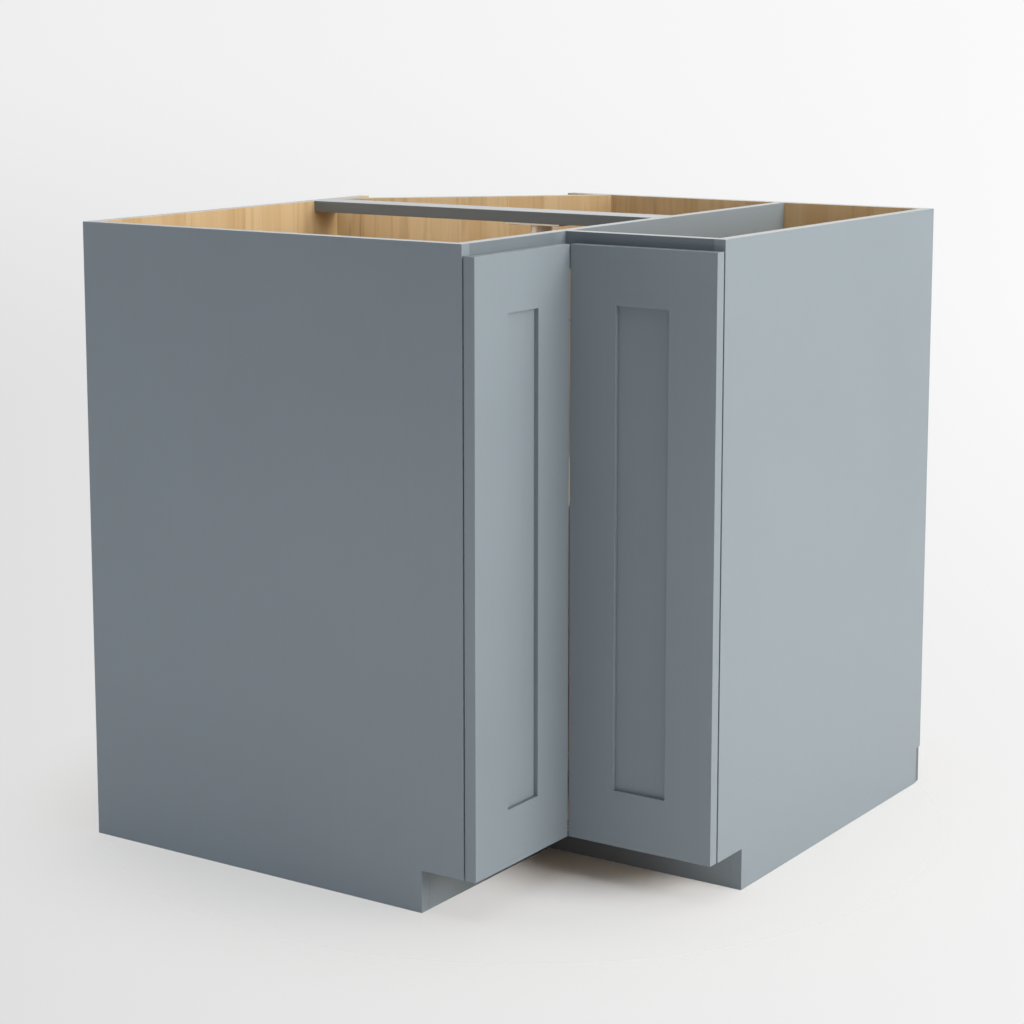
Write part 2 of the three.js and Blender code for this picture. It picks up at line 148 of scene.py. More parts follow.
def useEffect(tree, shader, effect, sockets, bumpDepth):
    given = addNode(tree, "ShaderNodeGroup", sockets, node_tree=effect).outputs
    tree.links.new(given["Colour"], shader.inputs["Base Color"])
    tree.links.new(given["Roughness"], shader.inputs["Roughness"])
    addBump(tree, shader, given["Height"], bumpDepth)


# Short ways to make meshes

meshing = {
    "weld": 0.002 * mm,  # doubled points closer than this become one
    "flatAngle": math.radians(0.5),  # faces nearer to one plane than this become one face
    "smoothAngle": math.radians(32),  # sharper edges than this stay sharp
    "bevelAngle": math.radians(35),  # sharper edges than this are rounded
}


# The CAD solid as a clean bmesh: doubled points joined and flat faces whole again.
def solidOf(node):
    solid = bmesh.new()
    solid.from_mesh(frame["nodes"][node].data)
    bmesh.ops.remove_doubles(solid, verts=solid.verts, dist=meshing["weld"])
    bmesh.ops.dissolve_limit(
        solid, angle_limit=meshing["flatAngle"],
        verts=solid.verts, edges=solid.edges, delimit=set(),
    )
    bmesh.ops.recalc_face_normals(solid, faces=solid.faces)
    return solid


def shadeSmooth(mesh):
    mesh.shade_smooth()
    mesh.set_sharp_from_angle(angle=meshing["smoothAngle"])


def toMesh(name, solid, smooth=True):
    mesh = bpy.data.meshes.new(name)
    solid.to_mesh(mesh)
    solid.free()
    if smooth:
        shadeSmooth(mesh)
    return mesh


def addPiece(name, mesh, materials, body, slot, place=None):
    piece = bpy.data.objects.new(name, mesh)
    scene.collection.objects.link(piece)
    if place is not None:
        piece.matrix_world = place
    if not mesh.materials:
        for material in materials:
            mesh.materials.append(material)
    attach(piece, body)
    return piece


# A piece that stands for a CAD node and takes over its body.
def standIn(node, mesh, materials):
    piece = addPiece(mesh.name, mesh, materials, bodyOf[node], slotOf[node])
    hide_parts(node)
    return piece


def roundEdges(piece, radius, steps=2, edgeMaterial=-1, marked=False, smooth=True):
    bevel = piece.modifiers.new("roundedEdges", "BEVEL")
    bevel.width = radius
    bevel.segments = steps
    bevel.limit_method = "WEIGHT" if marked else "ANGLE"
    bevel.angle_limit = meshing["bevelAngle"]
    bevel.harden_normals = smooth
    bevel.material = edgeMaterial


# A CAD node's own shape with rounded edges. pick gives a face's number in the list of materials.
# Boards and doors are shaded flat, so that their broad faces stay even up to the rounded edges.
def finishNode(node, materials, radius, pick=None, edgeMaterial=-1, steps=2, smooth=True):
    solid = solidOf(node)
    if pick:
        for face in solid.faces:
            face.material_index = pick(face)
    piece = standIn(node, toMesh("finished_" + node, solid, smooth), materials)
    roundEdges(piece, radius, steps, edgeMaterial, smooth=smooth)


# Turns (radius, height) pairs round the z axis. A radius of 0 closes the shape there.
def lathe(profile, steps, closed=False):
    solid = bmesh.new()
    angles = [math.tau * step / steps for step in range(steps)]
    rings = []
    for radius, height in profile:
        if radius == 0:
            rings.append([solid.verts.new((0, 0, height))] * steps)
        else:
            rings.append([
                solid.verts.new((radius * math.cos(angle), radius * math.sin(angle), height))
                for angle in angles
            ])
    pairs = list(zip(rings, rings[1:]))
    if closed:
        pairs.append((rings[-1], rings[0]))
    for first, second in pairs:
        for step in range(steps):
            after = (step + 1) % steps
            corners = [first[step], first[after], second[after], second[step]]
            solid.faces.new(list(dict.fromkeys(corners)))
    bmesh.ops.recalc_face_normals(solid, faces=solid.faces)
    return solid


# Points of a round stretch of a profile, from one angle to another in degrees.
def arc(centreRadius, centreHeight, radius, start, end, steps=5):
    angles = [math.radians(start + (end - start) * step / steps) for step in range(steps + 1)]
    return [
        (centreRadius + radius * math.cos(angle), centreHeight + radius * math.sin(angle))
        for angle in angles
    ]


def addBox(solid, low, high):
    size = Vector(high) - Vector(low)
    middle = (Vector(high) + Vector(low)) / 2
    matrix = Matrix.Translation(middle) @ Matrix.Diagonal((*size, 1))
    return bmesh.ops.create_cube(solid, size=1, matrix=matrix)["verts"]


# Joins or cuts with Blender's exact boolean and gives back the finished mesh.
def booleanMesh(name, solid, tool, operation):
    target = bpy.data.objects.new("booleanTarget", toMesh(name, solid))
    cutter = bpy.data.objects.new("booleanTool", toMesh("booleanTool", tool))
    for thing in (target, cutter):
        scene.collection.objects.link(thing)
    modifier = target.modifiers.new("boolean", "BOOLEAN")
    modifier.operation = operation
    modifier.object = cutter
    modifier.solver = "EXACT"
    bpy.context.view_layer.update()
    solved = target.evaluated_get(bpy.context.evaluated_depsgraph_get())
    result = bpy.data.meshes.new_from_object(solved)
    for thing in (target, cutter):
        spent = thing.data
        bpy.data.objects.remove(thing)
        bpy.data.meshes.remove(spent)
    result.name = name
    shadeSmooth(result)
    return result


# Turns a part made standing on +z so that it stands on `direction`.
def facing(direction):
    return direction.to_track_quat("Z", "Y").to_matrix().to_4x4()


# The middle of a box's face that looks along `way`. A box is its low and its high corner.
def faceMiddle(box, way):
    low, high = box
    half = (high - low) / 2
    return (low + high) / 2 + way * abs(half.dot(way))


# Stands a part made on +z on the face of `box` that looks away from `way`.
def seatOn(mesh, box, way=zAxis):
    mesh.transform(Matrix.Translation(faceMiddle(box, -way)) @ facing(way))


# Camera and lamps

cameraSetup = {
    "place": (1.8100, -2.7338, 1.0894),
    "yaw": 33.773,  # degrees, turned left from looking along +Y
    "pitch": -8.54,
    "lens": 84.42,
    "sensorWidth": 36,
    "verticalShift": -0.12,  # the photograph's uprights are parallel
    "clipEnd": 60,
}

lamps = {
    "keySoftbox": {
        "place": (3.4, 0.2, 1.5), "aim": (0.2, 0.0, 0.3), "size": (2.4, 2.0),
        "watts": 107, "colour": (1.0, 0.99, 0.965),
    },
    "topSoftbox": {
        "place": (-0.3, 0.9, 3.2), "aim": (0.0, 0.0, 0.6), "size": (2.6, 2.6),
        "watts": 34, "colour": (1.0, 1.0, 1.0),
    },
    "frontTopSoftbox": {
        "place": (0.2, -0.5, 3.4), "aim": (0.0, 0.0, 0.4), "size": (1.8, 1.8),
        "watts": 25, "colour": (1.0, 1.0, 1.0),
    },
    "rearRightSoftbox": {
        "place": (1.8, 1.2, 3.0), "aim": (0.0, 0.0, 0.6), "size": (1.8, 1.8),
        "watts": 30, "colour": (1.0, 0.98, 0.95),
    },
    "leftSoftbox": {
        "place": (-3.2, -1.2, 1.2), "aim": (0.0, 0.0, 0.35), "size": (1.6, 1.6),
        "watts": 24, "colour": (0.94, 0.98, 1.06),
    },
    "floorGlow": {  # stands for the bright studio floor in front of the cabinet
        "place": (-0.3, -1.9, 0.12), "aim": (-0.15, -0.42, 0.25), "size": (2.2, 0.25),
        "watts": 4.5, "colour": (0.94, 0.98, 1.06),
    },
}


def addCamera():
    data = bpy.data.cameras.new("photoCamera")
    data.lens = cameraSetup["lens"]
    data.sensor_width = cameraSetup["sensorWidth"]
    data.shift_y = cameraSetup["verticalShift"]
    data.clip_end = cameraSetup["clipEnd"]
    camera = bpy.data.objects.new("photoCamera", data)
    camera.location = cameraSetup["place"]
    tilt = math.radians(90 + cameraSetup["pitch"])
    camera.rotation_euler = (tilt, 0, math.radians(cameraSetup["yaw"]))
    scene.collection.objects.link(camera)
    scene.camera = camera


def addLamps():
    for name, setup in lamps.items():
        data = bpy.data.lights.new(name, "AREA")
        data.shape = "RECTANGLE"
        data.size, data.size_y = setup["size"]
        data.energy = setup["watts"]
        data.color = setup["colour"]
        lamp = bpy.data.objects.new(name, data)
        lamp.location = setup["place"]
        aim = Vector(setup["aim"]) - Vector(setup["place"])
        lamp.rotation_euler = aim.to_track_quat("-Z", "Y").to_euler()
        lamp.visible_camera = False
        scene.collection.objects.link(lamp)


# Backdrop and floor

studio = {
    "floorRadius": 14.0,
    "floorSteps": 96,
    "floorColour": (0.805, 0.785, 0.77, 1),
    "floorRoughness": 0.75,
    "floorShine": 0.1,
    "nearShare": 0.56,  # how much of the plain backdrop shows through the floor by the cabinet
    "cornerShare": 0.0,  # and in the cabinet's inner corner, where the shadow stays deep
    "cornerPlace": (0.195, -0.10, 0.0),
    "cornerReach": (0.085, 0.22),
    "fadeFrom": 0.45,  # metres from the middle, where the floor starts to melt into the backdrop
    "fadeTo": 0.8,
    "backdropLeft": ((0.74, 0.74, 0.74, 1), (0.86, 0.86, 0.86, 1)),  # below and above
    "backdropRight": ((0.89, 0.89, 0.89, 1), (0.96, 0.96, 0.96, 1)),
    "backdropSpread": 0.22,  # how far from the middle of the view the side tones are reached
    "riseLeft": (-0.16, 0.0),  # the heights of the view where the two tones of a side are reached
    "riseRight": (-0.30, -0.10),
    "skyColour": (0.94, 0.98, 1.06),
    "skyStrength": 0.15,
    "seenInGloss": (0.90, 0.90, 0.90, 1),
}


# The camera sees the backdrop's tones, gloss and glass an even pale one, and only the dim sky lights.
def addBackdropWorld():
    world = bpy.data.worlds.new("studioWorld")
    world.use_nodes = True
    scene.world = world
    tree = world.node_tree
    tree.nodes.clear()
    rays = addNode(tree, "ShaderNodeLightPath").outputs
    place = addNode(tree, "ShaderNodeTexCoord").outputs["Generated"]
    yaw = math.radians(cameraSetup["yaw"])
    sideways = dotProduct(tree, place, (math.cos(yaw), math.sin(yaw), 0))
    height = dotProduct(tree, place, tuple(zAxis))
    riseLeft = smoothRamp(tree, height, *studio["riseLeft"], 0.0, 1.0)
    riseRight = smoothRamp(tree, height, *studio["riseRight"], 0.0, 1.0)
    left = mixColours(tree, riseLeft, *studio["backdropLeft"])
    right = mixColours(tree, riseRight, *studio["backdropRight"])
    spread = studio["backdropSpread"]
    seen = mixColours(tree, remap(tree, sideways, -spread, spread), left, right)
    sky = scaleColour(tree, studio["skyColour"], studio["skyStrength"])
    gloss = calc(tree, "MAXIMUM", rays["Is Glossy Ray"], rays["Is Transmission Ray"])
    lit = mixColours(tree, gloss, sky, studio["seenInGloss"])
    colour = mixColours(tree, rays["Is Camera Ray"], lit, seen)
    background = addNode(tree, "ShaderNodeBackground", {"Color": colour, "Strength": 1.0})
    addNode(tree, "ShaderNodeOutputWorld", {"Surface": background.outputs[0]})


# A round floor that shows the backdrop through itself, more of it further out, so there is no
# horizon and the shadows stay soft.
def addFloor():
    material, tree, shader = newMaterial("studioFloor", {
        "Base Color": studio["floorColour"],
        "Roughness": studio["floorRoughness"],
        "Specular IOR Level": studio["floorShine"],
    })
    flat = multiplyVectors(tree, objectPlace(tree), (1, 1, 0))
    fromMiddle = vectorCalc(tree, "LENGTH", {0: flat}, "Value")
    fromCorner = vectorCalc(tree, "DISTANCE", {0: flat, 1: studio["cornerPlace"]}, "Value")
    shares = (studio["cornerShare"], studio["nearShare"])
    near = smoothRamp(tree, fromCorner, *studio["cornerReach"], *shares)
    share = smoothRamp(tree, fromMiddle, studio["fadeFrom"], studio["fadeTo"], near, 1.0)
    byCamera = addNode(tree, "ShaderNodeLightPath").outputs["Is Camera Ray"]
    clear = addNode(tree, "ShaderNodeBsdfTransparent").outputs[0]
    sockets = {0: calc(tree, "MULTIPLY", share, byCamera), 1: shader.outputs[0], 2: clear}
    mixed = addNode(tree, "ShaderNodeMixShader", sockets)
    tree.links.new(mixed.outputs[0], tree.nodes["Material Output"].inputs["Surface"])
    disc = bmesh.new()
    bmesh.ops.create_circle(
        disc, cap_ends=True, segments=studio["floorSteps"], radius=studio["floorRadius"]
    )
    floor = bpy.data.objects.new("floor", toMesh("floor", disc))
    floor.data.materials.append(material)
    scene.collection.objects.link(floor)


# Paint

paint = {
    "colour": (0.236, 0.275, 0.302, 1),
    "edgeShadeColour": (0.225, 0.262, 0.286, 1),  # round the doors' and boards' edges; a little darker than the paint, a painted shade that dims their highlight
    "topHighlightColour": (0.41, 0.418, 0.412, 1),  # painted highlight: the boards' upper edges are painted pale for the bright gloss they catch
    "upperShadeColour": (0.165, 0.193, 0.211, 1),  # painted shade on the doors' upper edges, darker than the paint
    "kickShadeColour": (0.128, 0.136, 0.140, 1),  # painted shade: the kicks are painted dark in the shade under the doors, but not at their outer ends
    "kickShadeFade": (0.22, 0.42),
    "railShadeColour": (0.172, 0.201, 0.221, 1),  # painted shade on the top rails' fronts over the doors
    "railShadeFade": (0.193, 0.225),
    "baseRailShadeColour": (0.125, 0.145, 0.152, 1),  # painted shade: the rail is painted dark, as its end sits shaded in the notch behind the right panel
    "shine": 0.35,
    "roughness": 0.42,
    "edgeRoughness": 0.36,
    "dullRoughness": 0.52,
    "glossDrift": 0.16,  # how much the cloudy pattern changes the roughness
    "streaks": 0.05,
    "mottle": 0.05,
    "bump": 0.04 * mm,
    "fine": 420.0,  # streaks to the metre across the grain
    "long": 5.0,  # and along it
    "cloudScale": 5.5,
    "peelScale": 900.0,  # the orange peel that a spray gun leaves
    "peelShare": 0.35,
}


# Sprayed satin paint over a board: the grain telegraphs through as faint long streaks.
def makePaintFilm():
    group, given = newEffect("paintFilm", {
        "Place": "Vector", "Stretched Place": "Vector", "Colour": "Color",
        "Streaks": "Float", "Mottle": "Float", "Roughness": "Float",
    })
    streak = noise(group, given["Stretched Place"], detail=3.0, roughness=0.6)
    cloud = noise(group, given["Place"], paint["cloudScale"])
    peel = noise(group, given["Place"], paint["peelScale"], detail=1.0)
    cloudy = calc(group, "SUBTRACT", cloud, 0.5)  # a noise's mean is about a half
    streaky = calc(group, "SUBTRACT", streak, 0.5)
    streakShare = calc(group, "MULTIPLY", streaky, given["Streaks"])
    cloudShare = calc(group, "MULTIPLY", cloudy, given["Mottle"])
    tone = calc(group, "ADD", 1.0, calc(group, "ADD", streakShare, cloudShare))
    return finishEffect(
        group,
        scaleColour(group, given["Colour"], tone),
        calc(group, "MULTIPLY_ADD", cloudy, paint["glossDrift"], given["Roughness"]),
        calc(group, "MULTIPLY_ADD", peel, paint["peelShare"], streak),
    )


paintFilm = makePaintFilm()


# outerColour takes over from colour towards the end panel of each wing, between the two distances
# of fade from the middle.
def makePaint(name, grain, colour, roughness, outerColour=None, fade=None):
    material, tree, shader = newMaterial(name, {"Specular IOR Level": paint["shine"]})
    place = objectPlace(tree)
    if outerColour:
        split = addNode(tree, "ShaderNodeSeparateXYZ", {0: place}).outputs
        out = calc(tree, "MAXIMUM", split["X"], calc(tree, "MULTIPLY", split["Y"], -1.0))
        colour = mixColours(tree, smoothRamp(tree, out, *fade, 0.0, 1.0), colour, outerColour)
    fine, long = paint["fine"], paint["long"]
    stretch = {"upright": (fine, fine, long), "level": (long, long, fine)}[grain]
    useEffect(tree, shader, paintFilm, {
        "Place": place,
        "Stretched Place": multiplyVectors(tree, place, stretch),
        "Colour": colour,
        "Streaks": paint["streaks"],
        "Mottle": paint["mottle"],
        "Roughness": roughness,
    }, paint["bump"])
    return material


paintUpright = makePaint("paintUpright", "upright", paint["colour"], paint["roughness"])
paintLevel = makePaint("paintLevel", "level", paint["colour"], paint["roughness"])
# painted shade: the rounded edges are a little darker than the paint
shadedPaintEdge = makePaint("shadedPaintEdge", "level", paint["edgeShadeColour"], paint["edgeRoughness"])
# painted highlight on the upper boards' top faces, pale where they catch the light
topHighlightEdge = makePaint("topHighlightEdge", "level", paint["topHighlightColour"], paint["dullRoughness"])
# painted shade on the toe kicks, dark towards the inner corner and paint-coloured at the outer ends
kickShadedPaint = makePaint(
    "kickShadedPaint", "level", paint["kickShadeColour"], paint["dullRoughness"],
    paint["colour"], paint["kickShadeFade"],
)
# painted shade: the top rails turn darker where their fronts stand over the doors
railShadedPaint = makePaint(
    "railShadedPaint", "level", paint["colour"], paint["roughness"],
    paint["railShadeColour"], paint["railShadeFade"],
)
baseRailShadedPaint = makePaint("baseRailShadedPaint", "level", paint["baseRailShadeColour"], paint["roughness"])
doorUpperShade = makePaint("doorUpperShade", "level", paint["upperShadeColour"], paint["roughness"])

# Maple

maple = {
    "pale": (0.69, 0.50, 0.275, 1),
    "honey": (0.56, 0.36, 0.160, 1),
    "growthLine": (0.25, 0.125, 0.05, 1),
    "knot": (0.10, 0.045, 0.02, 1),
    "staves": 24.0,  # glued strips to the metre
    "staveBend": 0.5,
    "figure": 0.27,  # how dark the growth lines are
    "roughness": 0.45,
    "bump": 0.06 * mm,
    "bandShare": 1.5,  # how far the fine bands shift a stave's tone
    "honeyShare": 0.62,
    "loops": 12.0,  # growth lines over the whole range of the slope
    "loopPush": 0.22,  # how far a knot pushes them
    "lineSharpness": 3.0,
    "patchRange": (0.42, 0.64),  # where growth lines fade in, and how weak and strong they get
    "patchShares": (0.12, 0.85),
    "linesByKnots": 0.3,
    "knotRarity": 0.66,  # the share of places that stay without a knot
    "knotCore": (0.018, 0.036),
    "knotHalo": (0.03, 0.26),
    "coreShade": 0.85,
    "haloShade": 0.22,
    "knotSink": 2.0,
    "strokeRange": (0.80, 0.92),
    "strokeShade": 0.5,
    "strokesByPatch": 0.25,
    "fibreRange": (0.25, 0.75),
    "fibreTones": (0.95, 1.05),
    "glossDrift": 0.12,
}

# How often each pattern repeats to the metre: across the board, through it and along the grain
maplePatterns = {
    "bend": (3.0, 3.0, 1.2),
    "band": (38.0, 38.0, 0.9),
    "fibre": (850.0, 850.0, 12.0),
    "patch": (9.0, 9.0, 2.6),
    "knots": (9.0, 9.0, 6.5),
    "slope": (13.0, 13.0, 1.5),
    "stroke": (150.0, 150.0, 9.0),
}


# The random value of a Voronoi cell
def cellValue(tree, cells):
    return dotProduct(tree, cells["Color"], tuple(xAxis))


# Maple veneer: glued staves of uneven width and tone, the loops of a flat cut, and a few knots with
# the growth lines bending round them. The third coordinate of Place runs along the grain.
def makeMapleFigure():
    group, given = newEffect("mapleFigure", {
        "Place": "Vector", "Pale": "Color", "Honey": "Color", "Growth Line": "Color",
        "Knot": "Color", "Staves": "Float", "Figure": "Float", "Roughness": "Float",
    })

    def drawn(pattern):
        return multiplyVectors(group, given["Place"], maplePatterns[pattern])

    bend = noise(group, drawn("bend"), detail=1.0)
    band = noise(group, drawn("band"), detail=3.0, roughness=0.55)
    fibre = noise(group, drawn("fibre"), detail=3.0, roughness=0.6)
    patch = noise(group, drawn("patch"))

    across = addNode(group, "ShaderNodeSeparateXYZ", {0: given["Place"]}).outputs["X"]
    evenStaves = calc(group, "MULTIPLY", across, given["Staves"])
    staves = addNode(
        group, "ShaderNodeTexVoronoi",
        {"W": calc(group, "MULTIPLY_ADD", bend, maple["staveBend"], evenStaves), "Scale": 1.0},
        voronoi_dimensions="1D", feature="F1",
    ).outputs
    banding = calc(group, "SUBTRACT", band, 0.5)
    stave = calc(group, "MULTIPLY_ADD", banding, maple["bandShare"], cellValue(group, staves))
    honey = calc(group, "MULTIPLY", stave, maple["honeyShare"])

    knots = addNode(
        group, "ShaderNodeTexVoronoi", {"Vector": drawn("knots"), "Scale": 1.0}, feature="F1"
    ).outputs
    kept = calc(group, "GREATER_THAN", cellValue(group, knots), maple["knotRarity"])

    def roundKnots(reach):
        return calc(group, "MULTIPLY", smoothRamp(group, knots["Distance"], *reach, 1.0, 0.0), kept)

    core = roundKnots(maple["knotCore"])
    halo = roundKnots(maple["knotHalo"])

    # level lines of a drawn-out noise make the loops; the halo pushes them round its knot
    slope = noise(group, drawn("slope"), roughness=0.4)
    pushed = calc(group, "MULTIPLY_ADD", halo, maple["loopPush"], slope)
    loops = calc(group, "SINE", calc(group, "MULTIPLY", pushed, math.tau * maple["loops"]))
    line = calc(group, "POWER", remap(group, loops, -1.0, 1.0), maple["lineSharpness"])
    lined = calc(group, "MULTIPLY_ADD", halo, maple["linesByKnots"], patch)
    shown = smoothRamp(group, lined, *maple["patchRange"], *maple["patchShares"])
    lineShare = calc(group, "MULTIPLY", calc(group, "MULTIPLY", line, shown), given["Figure"])

    # short dark strokes where the grain dips
    stroke = noise(group, drawn("stroke"), detail=1.0)
    dips = calc(group, "MULTIPLY_ADD", patch, maple["strokesByPatch"], stroke)
    strokeShare = smoothRamp(group, dips, *maple["strokeRange"], 0.0, maple["strokeShade"])

    haloShare = calc(group, "MULTIPLY", halo, maple["haloShade"])
    coreShare = calc(group, "MULTIPLY", core, maple["coreShade"])
    colour = mixColours(group, honey, given["Pale"], given["Honey"])
    for share in (lineShare, strokeShare, haloShare):
        colour = mixColours(group, share, colour, given["Growth Line"])
    colour = mixColours(group, coreShare, colour, given["Knot"])
    fibreTone = remap(group, fibre, *maple["fibreRange"], *maple["fibreTones"])
    sink = calc(group, "MULTIPLY", core, maple["knotSink"])
    return finishEffect(
        group,
        scaleColour(group, colour, fibreTone),
        calc(group, "MULTIPLY_ADD", fibre, maple["glossDrift"], given["Roughness"]),
        calc(group, "SUBTRACT", fibre, sink),
    )


mapleFigure = makeMapleFigure()

# Where the grain runs: each row gives what is measured across the board, through it and along it
grainMaps = {
    "upright": ((1, 1, 0), (1, -1, 0), (0, 0, 1)),
    "alongX": ((0, 1, 1), (0, 1, -1), (1, 0, 0)),
}


def makeMaple(name, grain):
    material, tree, shader = newMaterial(name)
    place = objectPlace(tree)
    rows = [dotProduct(tree, place, row) for row in grainMaps[grain]]
    useEffect(tree, shader, mapleFigure, {
        "Place": addNode(tree, "ShaderNodeCombineXYZ", dict(enumerate(rows))).outputs[0],
        "Pale": maple["pale"],
        "Honey": maple["honey"],
        "Growth Line": maple["growthLine"],
        "Knot": maple["knot"],
        "Staves": maple["staves"],
        "Figure": maple["figure"],
        "Roughness": maple["roughness"],
    }, maple["bump"])
    return material


mapleUpright = makeMaple("mapleUpright", "upright")
mapleLevel = makeMaple("mapleLevel", "alongX")

# Sawn edges of plywood

plywood = {
    "plies": 7,
    "light": (0.62, 0.44, 0.26, 1),
    "dark": (0.36, 0.22, 0.11, 1),
    "glueLine": 0.35,  # the smaller, the harder the step from ply to ply
    "fibreScale": 260.0,
    "fibreRange": (0.2, 0.8),
    "fibreTones": (0.8, 1.15),
    "roughness": (0.6, 0.8),
    "bump": 0.15 * mm,
}


# The plies lie one behind the other along `through`, from `start` on.
def makePlyEdge(name, through, start, thickness):
    material, tree, shader = newMaterial(name)
    place = objectPlace(tree)
    depth = calc(tree, "SUBTRACT", dotProduct(tree, place, tuple(through)), start)
    turns = calc(tree, "MULTIPLY", depth, math.pi * plywood["plies"] / thickness)
    step = plywood["glueLine"]
    ply = remap(tree, calc(tree, "SINE", turns), -step, step)
    fibre = noise(tree, place, plywood["fibreScale"], detail=3.0, roughness=0.6)
    plies = mixColours(tree, ply, plywood["dark"], plywood["light"])
    fibreTone = remap(tree, fibre, *plywood["fibreRange"], *plywood["fibreTones"])
    tree.links.new(scaleColour(tree, plies, fibreTone), shader.inputs["Base Color"])
    roughness = remap(tree, fibre, 0.0, 1.0, *plywood["roughness"])
    tree.links.new(roughness, shader.inputs["Roughness"])
    addBump(tree, shader, fibre, plywood["bump"])
    return material


# Metal, plastic and rubber

speckle = {
    "smudgeScale": 35.0,
    "glossDrift": 0.22,
}

# grain: specks to the metre; amount: how much they change the tone
fittings = {
    "nickelPlate": {
        "colour": (0.66, 0.65, 0.62, 1), "metallic": 1.0, "roughness": 0.30,
        "grain": 900.0, "amount": 0.05, "bump": 0.002 * mm,
    },
    "satinNickel": {
        "colour": (0.74, 0.72, 0.68, 1), "metallic": 1.0, "roughness": 0.5,
        "grain": 700.0, "amount": 0.06, "bump": 0.004 * mm,
    },
    "chromedTube": {
        "colour": (0.72, 0.72, 0.73, 1), "metallic": 1.0, "roughness": 0.16,
        "grain": 500.0, "amount": 0.05, "bump": 0.004 * mm,
    },
    "blackSteel": {
        "colour": (0.09, 0.09, 0.095, 1), "metallic": 1.0, "roughness": 0.38,
        "grain": 700.0, "amount": 0.2, "bump": 0.01 * mm,
    },
    "whitePlastic": {
        "colour": (0.76, 0.75, 0.71, 1), "metallic": 0.0, "roughness": 0.40,
        "grain": 1100.0, "amount": 0.04, "bump": 0.02 * mm,
    },
    "almondPlastic": {
        "colour": (0.56, 0.41, 0.235, 1), "metallic": 0.0, "roughness": 0.42,
        "grain": 1100.0, "amount": 0.04, "bump": 0.02 * mm,
    },
    "clearRubber": {
        "colour": (0.72, 0.72, 0.69, 1), "metallic": 0.0, "roughness": 0.32,
        "grain": 900.0, "amount": 0.05, "bump": 0.01 * mm,
    },
}


# Fine uneven tone and gloss for pressed metal and moulded plastic.
def makeFineSpeckle():
    group, given = newEffect("fineSpeckle", {
        "Place": "Vector", "Colour": "Color",
        "Grain Size": "Float", "Amount": "Float", "Roughness": "Float",
    })
    specks = noise(group, given["Place"], given["Grain Size"])
    smudge = noise(group, given["Place"], speckle["smudgeScale"], detail=3.0)
    centred = calc(group, "SUBTRACT", calc(group, "ADD", specks, smudge), 1.0)
    tone = calc(group, "MULTIPLY_ADD", centred, given["Amount"], 1.0)
    return finishEffect(
        group,
        scaleColour(group, given["Colour"], tone),
        calc(group, "MULTIPLY_ADD", centred, speckle["glossDrift"], given["Roughness"]),
        specks,
    )


fineSpeckle = makeFineSpeckle()


def makeFitting(name):
    setup = fittings[name]
    material, tree, shader = newMaterial(name, {"Metallic": setup["metallic"]})
    useEffect(tree, shader, fineSpeckle, {
        "Place": objectPlace(tree),
        "Colour": setup["colour"],
        "Grain Size": setup["grain"],
        "Amount": setup["amount"],
        "Roughness": setup["roughness"],
    }, setup["bump"])
    return material


nickel = makeFitting("nickelPlate")
satinNickel = makeFitting("satinNickel")
chrome = makeFitting("chromedTube")
blackSteel = makeFitting("blackSteel")
whitePlastic = makeFitting("whitePlastic")
almondPlastic = makeFitting("almondPlastic")
clearRubber = makeFitting("clearRubber")
print("materials made")

# Carcass boards

carcass = {
    "edgeRadius": 0.4 * mm,
    "highlightAbove": 0.7,  # metres; only the upper boards carry the painted highlight on their top edge
    "faceMatch": 0.9,  # a face counts as looking a way when its normal is this close to it
    "painted": {  # board: its paint, and which way its bare maple face looks
        "left_end_panel": (paintUpright, yAxis),
        "right_end_panel": (paintUpright, -xAxis),
        "long_top_rail": (railShadedPaint, None),
        "right_top_rail": (railShadedPaint, None),
        "cross_top_rail": (paintLevel, None),
        "left_toe_kick": (kickShadedPaint, None),
        "right_toe_kick": (kickShadedPaint, None),
        "right_rear_base_rail": (baseRailShadedPaint, None),
    },
    "bare": {  # board: the way through its thickness
        "left_back_panel": xAxis,
        "right_back_panel": yAxis,
        "diagonal_back_panel": (xAxis - yAxis).normalized(),
        "bottom_panel": zAxis,
        "left_rear_base_rail": xAxis,
        "corner_base_rail": (xAxis - yAxis).normalized(),
    },
}


def looks(face, way):
    return face.normal.dot(way) > carcass["faceMatch"]


# A painted board's materials: 0 its paint, 1 bare maple, 2 rounded edges in a painted shade, 3 the
# top edge with its painted highlight.
def addPaintedBoards():
    for node, (coat, bareWay) in carcass["painted"].items():

        def pick(face):
            if looks(face, zAxis) and face.calc_center_median().z > carcass["highlightAbove"]:
                return 3
            return int(bareWay is not None and looks(face, bareWay))

        materials = [coat, mapleUpright, shadedPaintEdge, topHighlightEdge]
        finishNode(node, materials, carcass["edgeRadius"], pick, edgeMaterial=2, smooth=False)


# A bare board's materials: 0 its faces, 1 the sawn edges, 2 the top edge with its painted highlight.
def addBareBoards():
    for node, through in carcass["bare"].items():

        def pick(face):
            if looks(face, zAxis) and not through.z:
                return 2
            return int(not looks(face, through) and not looks(face, -through))

        points = [through.dot(vertex.co) for vertex in frame["nodes"][node].data.vertices]
        edge = makePlyEdge("plyEdge_" + node, through, min(points), max(points) - min(points))
        broad = mapleLevel if through.z else mapleUpright
        finishNode(node, [broad, edge, topHighlightEdge], carcass["edgeRadius"], pick, smooth=False)


# Doors

doors = {
    "edgeRadius": 0.4 * mm,
    "edgeSteps": 4,
    "panelEdgeRadius": 0.2 * mm,
    "edgeAngle": 0.6,  # radians; a flatter edge isn't rounded
    "touching": 0.01 * mm,
    "across": {"right": 0, "left": 1},  # the coordinate that runs across each door
    "stiles": {"right": ("inner", "outer"), "left": ("outer", "inner")},  # low side first
}


def touchesAny(value, targets):
    return any(abs(value - target) < doors["touching"] for target in targets)


